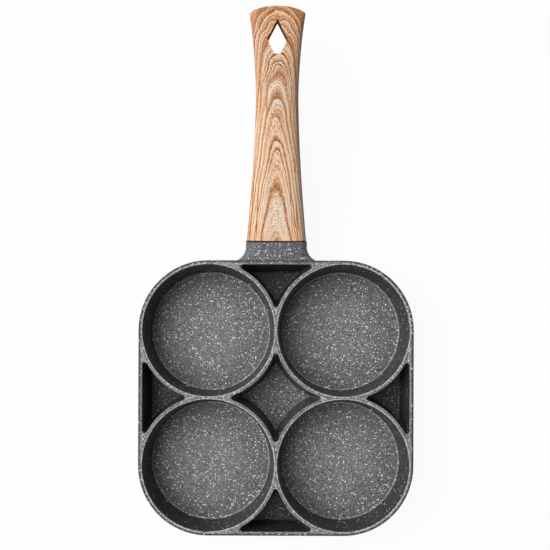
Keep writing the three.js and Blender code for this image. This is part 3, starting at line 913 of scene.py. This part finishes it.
# %% [markdown]
# The grip's wood is a print, laid on as a film: a board cut lengthwise from a log, whose growth rings show
# as arches nested along the handle. A wave texture draws only straight bands and circles, so one number
# does the drawing here. It grows along the handle and with the distance from the middle line, so that its
# contour lines are arches with long legs. Each growth band starts sharply at one value of that number and
# fades out, as summer wood does.

# %% Arches and growth bands
# Growth bands from the root to the end: apex in millimetres from the shoulder, length of the fade, strength
GRAIN_BANDS = [
    (-3.0, 10.0, 0.9), (36.0, 9.0, 1.0), (50.0, 4.0, 0.4), (67.8, 6.0, 0.95), (82.0, 5.0, 0.6),
    (95.0, 8.0, 0.9), (107.5, 3.0, 0.6), (112.0, 5.0, 0.5), (119.0, 3.0, 0.5), (126.0, 4.0, 0.6),
    (133.5, 5.0, 1.0), (140.0, 2.5, 0.7), (144.0, 2.5, 0.6), (148.0, 4.0, 1.0), (153.0, 2.5, 0.7),
    (157.0, 3.0, 0.7), (162.0, 5.0, 1.0), (169.0, 3.0, 0.7), (176.0, 8.0, 0.9), (192.0, 10.0, 0.9),
    (212.0, 10.0, 0.8), (235.0, 12.0, 0.8),
]
BAND_EDGE = 0.5
ARCH_SLOPE = 8.0
ARCH_ROUND = 9.0
END_WIDENING = 3.0
END_WIDENING_POWER = 6.0
SWAY_SCALE = 0.02
SWAY_REACH = 4.0
# Waves in the arches: how fine they are, for each millimetre, and how far they reach
ARCH_WAVES = [(0.09, 9.0), (0.9, 1.6)]


def wander(value, reach):
    """Noise from 0 to 1, turned into a shift to both sides."""
    return times(reckon("SUBTRACT", value, 0.5), reach)


def arch_number(on_grip, spot):
    """Grows along the handle and away from its middle line. The arches widen towards the end."""
    along = spot.outputs["Y"]
    sway = wander(line_noise(along, SWAY_SCALE, detail=1.0), SWAY_REACH)
    part = reckon("DIVIDE", reckon("MAXIMUM", along, 0.0), GRIP_LENGTH)
    widen = reckon("ADD", times(reckon("POWER", part, END_WIDENING_POWER), END_WIDENING), 1.0)
    across = reckon("DIVIDE", reckon("ADD", spot.outputs["X"], sway), widen)
    slant = reckon("SQRT", reckon("ADD", times(across, across), ARCH_ROUND**2))
    drop = times(reckon("SUBTRACT", slant, ARCH_ROUND), ARCH_SLOPE)
    number = reckon("ADD", along, drop)
    for scale, reach in ARCH_WAVES:
        number = reckon("ADD", number, wander(noise(on_grip, scale, detail=2.0), reach))
    return number, reckon("ABSOLUTE", across)


def growth_bands(number):
    darkest = 0.0
    for apex, fade, strength in GRAIN_BANDS:
        start = ease(number, apex - BAND_EDGE, apex)
        end = ease(number, apex, apex + fade, strength, 0.0, "LINEAR")
        darkest = reckon("MAXIMUM", darkest, times(start, end))
    return darkest


print("growth bands:", len(GRAIN_BANDS))

# %% [markdown]
# Beside the arches, where the board is cut across older rings, the grain runs in long lines. They could be
# more arches, but these would have to be endlessly long. Noise that is stretched along the handle draws
# them, and it is spread towards the root as the grip is, so that the lines follow its sides.

# %% Long lines beside the arches
SIDE_LINE_WIDTH = 0.95
SIDE_LINE_LENGTH = 60.0
SIDE_LINE_FLARE = 0.45
SIDE_LINE_BAND = (4.0, 9.0)
SIDE_LINE_FAINTEST = 0.1
SIDE_LINE_TAIL = (85.0, 120.0)
SIDE_LINE_AT_TAIL = 0.15


def stretched_noise(place, width, length, detail):
    scale = (1 / width, 1 / length, 1 / width)
    drawn = add("Mapping", {"Vector": place, "Scale": scale}).outputs[0]
    return noise(drawn, 1.0, detail)


def side_lines(spot):
    """The lines, and how strongly they show at a spot."""
    along = spot.outputs["Y"]
    to_waist = reckon("DIVIDE", reckon("SUBTRACT", grip_waist, along), grip_waist)
    flare = reckon("POWER", reckon("MAXIMUM", to_waist, 0.0), GRIP_ROOT_CURVE)
    flare = reckon("ADD", times(flare, SIDE_LINE_FLARE), 1.0)
    beside = reckon("DIVIDE", spot.outputs["X"], flare)
    spread = add("CombineXYZ", {0: beside, 1: along, 2: spot.outputs["Z"]}).outputs[0]
    lines = stretched_noise(spread, SIDE_LINE_WIDTH, SIDE_LINE_LENGTH, detail=3.0)
    aside = ease(reckon("ABSOLUTE", beside), *SIDE_LINE_BAND, SIDE_LINE_FAINTEST, 1.0)
    return lines, times(aside, ease(along, *SIDE_LINE_TAIL, 1.0, SIDE_LINE_AT_TAIL))


print("side lines:", SIDE_LINE_WIDTH, "mm wide")

# %% [markdown]
# Between the growth bands, fine rings show as rows of dots. More growth bands could draw them, but they
# are evenly spaced, so one wave of the same number is enough, and noise breaks it into dots. They fade to
# the sides and towards the end, where lines take over.

# %% Dotted rings
RING_SPACING = 2.3
RING_REACH = 7.0
RING_FARTHEST = 118.0
RING_FADE = 15.0
RING_SPAN = (0.0, 0.7)
DOT_SPAN = (0.46, 0.58)
RING_TINT = 0.75
RING_ASIDE = 0.15
RING_AT_TAIL = 0.2


def dotted_rings(number, aside, dots):
    wave = reckon("SINE", times(number, 2 * math.pi / RING_SPACING))
    drawn = ease(wave, *RING_SPAN)
    dotted = ease(dots, *DOT_SPAN, 0.0, RING_TINT)
    near = ease(aside, RING_REACH / 2, RING_REACH, 1.0, RING_ASIDE)
    early = ease(number, RING_FARTHEST, RING_FARTHEST + RING_FADE, 1.0, RING_AT_TAIL)
    return times(drawn, dotted, near, early)


print("rings every", RING_SPACING, "mm")

# %% [markdown]
# The print goes on in layers, as a printer lays inks: two pale browns in soft clouds, orange fibres, the
# long lines at the sides, fine lines along the arches that crowd towards the end, dotted rings inside the
# arches, and the growth bands over them. A painted shadow darkens the film at the root, in the seam with
# the neck. A picture of a board would be quicker, but formulas stay sharp from close by.

# %% The printed wood grain
WOOD_PALE = srgb(255, 234, 210)
WOOD_MID = srgb(254, 219, 184)
WOOD_ORANGE = srgb(228, 161, 104)
WOOD_BROWN = srgb(138, 70, 28)
# A painted shadow in the seam between the grip and the neck
SEAM_SHADOW_BROWN = srgb(84, 58, 36)
SEAM_SHADOW_WIDTH = 1.1
FIBRE_WIDTH = 0.55
FIBRE_LENGTH = 22.0
CLOUD_SCALE = 0.05
DOT_SCALE = 0.95
LINE_SPACING = 4.5
TAIL_LINE_SPACING = 1.7
TAIL_TINT_BAND = (100.0, 145.0)
TAIL_LINE_BAND = (90.0, 115.0)
# Where along its noise a mark fades in. Lines have an orange edge and a brown core
CLOUD_SPAN = (0.35, 0.65)
FIBRE_SPAN = (0.48, 0.68)
SIDE_LINE_EDGE = (0.55, 0.62)
SIDE_LINE_CORE = (0.61, 0.70)
LINE_EDGE = (0.54, 0.61)
LINE_CORE = (0.60, 0.68)
TAIL_LINE_SPAN = (0.50, 0.64)
BROKEN_SPAN = (0.38, 0.56)
# How strongly the marks show
TAIL_TINT = 0.25
FIBRE_TINT = 0.3
LINE_TINT = 0.8
BROKEN_LEAST = 0.35
WOOD_ROUGHNESS = (0.42, 0.54)


def make_printed_wood():
    finish, shader, place = new_finish("printed_wood")
    turn = {"Location": shoulder * MM, "Rotation": (HANDLE_RISE, 0, 0), "Scale": (MM, MM, MM)}
    on_grip = add("Mapping", {"Vector": place, **turn}, vector_type="TEXTURE").outputs[0]
    spot = add("SeparateXYZ", {0: on_grip})
    along = spot.outputs["Y"]
    number, aside = arch_number(on_grip, spot)
    long_lines, beside = side_lines(spot)
    bands = growth_bands(number)
    fibre = stretched_noise(on_grip, FIBRE_WIDTH, FIBRE_LENGTH, detail=2.0)
    cloud = noise(on_grip, CLOUD_SCALE, detail=2.0)
    dots = noise(on_grip, DOT_SCALE, detail=2.0)
    lines = line_noise(number, 1 / LINE_SPACING, detail=3.0, roughness=0.6)
    tail_lines = line_noise(number, 1 / TAIL_LINE_SPACING, detail=2.0)
    at_tail = ease(along, *TAIL_LINE_BAND, 0.0, LINE_TINT)
    broken = ease(dots, *BROKEN_SPAN, BROKEN_LEAST, 1.0)
    colour = paint_layers(WOOD_MID, [
        (ease(cloud, *CLOUD_SPAN), WOOD_PALE),
        (ease(along, *TAIL_TINT_BAND, 0.0, TAIL_TINT), WOOD_ORANGE),
        (ease(fibre, *FIBRE_SPAN, 0.0, FIBRE_TINT), WOOD_ORANGE),
        (times(ease(long_lines, *SIDE_LINE_EDGE), beside), WOOD_ORANGE),
        (times(ease(long_lines, *SIDE_LINE_CORE), beside), WOOD_BROWN),
        (times(ease(lines, *LINE_EDGE), broken), WOOD_ORANGE),
        (times(ease(lines, *LINE_CORE, 0.0, LINE_TINT), broken), WOOD_BROWN),
        (times(ease(tail_lines, *TAIL_LINE_SPAN), at_tail), WOOD_BROWN),
        (dotted_rings(number, aside, dots), WOOD_BROWN),
        (bands, WOOD_ORANGE),
        (times(bands, broken), WOOD_BROWN),
        # painted shadow in the seam with the neck
        (ease(along, grip_root + SEAM_SHADOW_WIDTH / 2, grip_root + SEAM_SHADOW_WIDTH, 1.0, 0.0), SEAM_SHADOW_BROWN),
    ])
    roughness = ease(fibre, *NOISE_SPAN, *WOOD_ROUGHNESS)
    dress(shader, colour, roughness, fibre, strength=0.12, depth=0.1, specular=0.1)
    return finish


printed_wood = make_printed_wood()
wood_grip.data.materials.append(printed_wood)
print("wood nodes:", len(printed_wood.node_tree.nodes))

# %% [markdown]
# The film stops at the hang hole, so its walls and the screw channel show the brown plastic of the
# moulding. A separate piece inside the hole would leave a gap, so the faces of the grip itself are picked,
# by where they lie along the handle and by how steep they are.

# %% The bare plastic in the holes
CORE_BROWN = srgb(206, 140, 92)
CORE_DARK = srgb(172, 112, 68)
CORE_CLOUD_SIZE = 3.0
CORE_GRIT_SIZE = 0.4
CORE_ROUGHNESS = (0.55, 0.7)
HOLE_MARGIN = 0.1
STEEP_ENOUGH = 0.3


def clouds_and_grain(place, cloud_size, grain_size, dull, bright):
    """Two tones in soft clouds, with the clouds and a fine grain."""
    cloud = noise(place, 1 / (cloud_size * MM), detail=4.0)
    grain = noise(place, 1 / (grain_size * MM), detail=2.0)
    return paint(ease(cloud, *NOISE_SPAN), dull, bright), cloud, grain


def make_bare_core():
    finish, shader, place = new_finish("bare_moulding")
    colour, _, grit = clouds_and_grain(place, CORE_CLOUD_SIZE, CORE_GRIT_SIZE, CORE_DARK, CORE_BROWN)
    roughness = ease(grit, *NOISE_SPAN, *CORE_ROUGHNESS)
    dress(shader, colour, roughness, grit, strength=0.15, depth=0.1, specular=0.0)
    return finish


def is_in_hole(face):
    away = face.center / MM - shoulder
    along, up = away.dot(handle_axis), away.dot(handle_up)
    if math.hypot(away.x, up) < channel_radius + HOLE_MARGIN and along < hole_widest:
        return True
    in_length = hole_near - HOLE_MARGIN < along < hole_far + HOLE_MARGIN
    in_width = abs(away.x) < HANG_HOLE_WIDTH / 2 + HOLE_MARGIN
    return in_length and in_width and abs(face.normal.dot(handle_up)) < STEEP_ENOUGH


print("bare faces in the grip:", give_second_finish(wood_grip, make_bare_core(), is_in_hole))

# %% [markdown]
# The screw and its two washers lie deep in the channel. Their solids are right as they are, so they stay
# and only get a plated-steel finish: pale metal with a fine grain and a little dulling.

# %% Plated steel for the fasteners
STEEL_BRIGHT = srgb(200, 202, 204)
STEEL_DULL = srgb(150, 152, 150)
STEEL_CLOUD_SIZE = 2.0
STEEL_GRAIN_SIZE = 0.3
STEEL_ROUGHNESS = (0.42, 0.28)


def make_plated_steel():
    finish, shader, place = new_finish("plated_steel")
    tones = (STEEL_DULL, STEEL_BRIGHT)
    colour, cloud, grain = clouds_and_grain(place, STEEL_CLOUD_SIZE, STEEL_GRAIN_SIZE, *tones)
    roughness = ease(cloud, *NOISE_SPAN, *STEEL_ROUGHNESS)
    dress(shader, colour, roughness, grain, strength=0.1, depth=0.05, metallic=1.0)
    return finish


plated_steel = make_plated_steel()
fasteners = ("handle_screw", "plain_washer", "spring_washer")
for name in fasteners:
    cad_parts[name].material_slots[0].material = plated_steel
print("plated fasteners:", len(fasteners))

# %% [markdown]
# The fine skins stand for two of the frame's parts, whose plain solids are hidden. The pan has no joints, so
# everything rides on one body.

# %% Tie the skins to the frame
skins = [(cast_pan, "pan_body", "speckled_coating"), (wood_grip, "handle_grip", "wood_grain")]
for piece, node, slot in skins:
    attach(piece, "root")
    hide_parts(node)
print("skins:", cast_pan.name, wood_grip.name)

# %% [markdown]
# The pan stands on a plain white floor. A white surface under a plain light renders as pale grey, so for
# the camera and in reflections the floor is mostly a white glow, and the rest of it is real paint that
# still takes the pan's shadow. For other rays the paint is a middle grey, because a bright floor would
# throw light up at the edges of the rim, which are dark here. The sky behind the floor's far end is made
# white in the same way.

# %% The floor
FLOOR_HALF = 3000.0
FLOOR_GLOW = 0.94
FLOOR_PAINT = (0.9, 0.9, 0.9, 1.0)
FLOOR_PAINT_UNSEEN = (0.4, 0.4, 0.4, 1.0)
WHITE = (1.0, 1.0, 1.0, 1.0)


def seen_rays(tree):
    """1 for rays that show the background, straight or in a reflection, and 0 for rays that light things."""
    ray = tree.nodes.new("ShaderNodeLightPath")
    seen = reckon("MAXIMUM", ray.outputs["Is Camera Ray"], ray.outputs["Is Glossy Ray"])
    return reckon("MAXIMUM", seen, ray.outputs["Is Transmission Ray"])


def make_floor():
    corners = [turned((FLOOR_HALF * MM, FLOOR_HALF * MM), quarters) for quarters in range(4)]
    data = bpy.data.meshes.new("floor")
    data.from_pydata(lay_flat(corners, 0.0), [], [(0, 1, 2, 3)])
    finish, _, _ = new_finish("floor_white")
    finish.node_tree.nodes.clear()
    seen = seen_rays(finish.node_tree)
    glow = finish.node_tree.nodes.new("ShaderNodeEmission")
    glow.inputs["Color"].default_value = WHITE
    coat = add("BsdfDiffuse", {"Color": paint(seen, FLOOR_PAINT_UNSEEN, FLOOR_PAINT)})
    mixed = add("MixShader", {0: times(seen, FLOOR_GLOW), 1: coat.outputs[0], 2: glow.outputs[0]})
    add("OutputMaterial", {0: mixed.outputs[0]})
    data.materials.append(finish)
    return put("floor", data)


floor = make_floor()
print("floor:", 2 * FLOOR_HALF * MM, "m wide")

# %% [markdown]
# A cup's left wall is almost black and its right wall is lit, and the shadow on each floor is a little
# shorter than the cup is deep, with a wide soft edge. A sun lamp would give that shadow a hard edge. So
# the light is one large panel on the left, a little to the rear and about 55 degrees up, and a dim even
# world fills the shadows.

# %% The light
KEY_FROM = Vector((-0.55, 0.19, 0.82))
KEY_DISTANCE = 3000.0
KEY_SIZE = 2900.0
KEY_POWER = 117.0
WORLD_LEVEL = 0.06

lamp = bpy.data.lights.new("key_panel", "AREA")
lamp.shape = "SQUARE"
lamp.size = KEY_SIZE * MM
lamp.energy = KEY_POWER
key = put("key_panel", lamp)
key.location = KEY_FROM.normalized() * KEY_DISTANCE * MM
key.rotation_euler = (-key.location).to_track_quat("-Z", "Y").to_euler()

world = bpy.data.worlds.new("studio")
world.use_nodes = True
sky = world.node_tree.nodes["Background"]
sky.inputs["Color"].default_value = WHITE
sky_level = ease(seen_rays(world.node_tree), 0.0, 1.0, WORLD_LEVEL, 1.0)
world.node_tree.links.new(sky_level, sky.inputs["Strength"])
bpy.context.scene.world = world
bpy.context.scene.view_settings.view_transform = "Standard"
print("key light", KEY_DISTANCE, "mm away")

# %% [markdown]
# The camera looks straight down. The near cups show more of their lower walls, so it stands over a point
# behind the middle of the pan, and the frame is shifted to take in the whole handle. Tilting it instead
# would make the far cups smaller. The height comes from how far a cup's floor shrinks against its rim.

# %% The camera
IMAGE_WIDTH = 550
CAMERA_HEIGHT = 557.0
CAMERA_OVER = (-4.2, 35.2)
RIM_MM_PER_PIXEL = 0.688
POINT_BELOW_CAMERA = (270.0, 347.0)
SENSOR_WIDTH = 36.0
CAMERA_ROLL = math.radians(0.2)

focal_pixels = (CAMERA_HEIGHT - rim_height) / RIM_MM_PER_PIXEL
camera_data = bpy.data.cameras.new("camera")
camera_data.sensor_width = SENSOR_WIDTH
camera_data.lens = focal_pixels / IMAGE_WIDTH * SENSOR_WIDTH
camera_data.shift_x = (IMAGE_WIDTH / 2 - POINT_BELOW_CAMERA[0]) / IMAGE_WIDTH
camera_data.shift_y = (POINT_BELOW_CAMERA[1] - IMAGE_WIDTH / 2) / IMAGE_WIDTH
camera = put("camera", camera_data)
camera.location = (CAMERA_OVER[0] * MM, CAMERA_OVER[1] * MM, CAMERA_HEIGHT * MM)
camera.rotation_euler = (0.0, 0.0, CAMERA_ROLL)
bpy.context.scene.camera = camera
print("lens", round(camera_data.lens, 1), "mm")
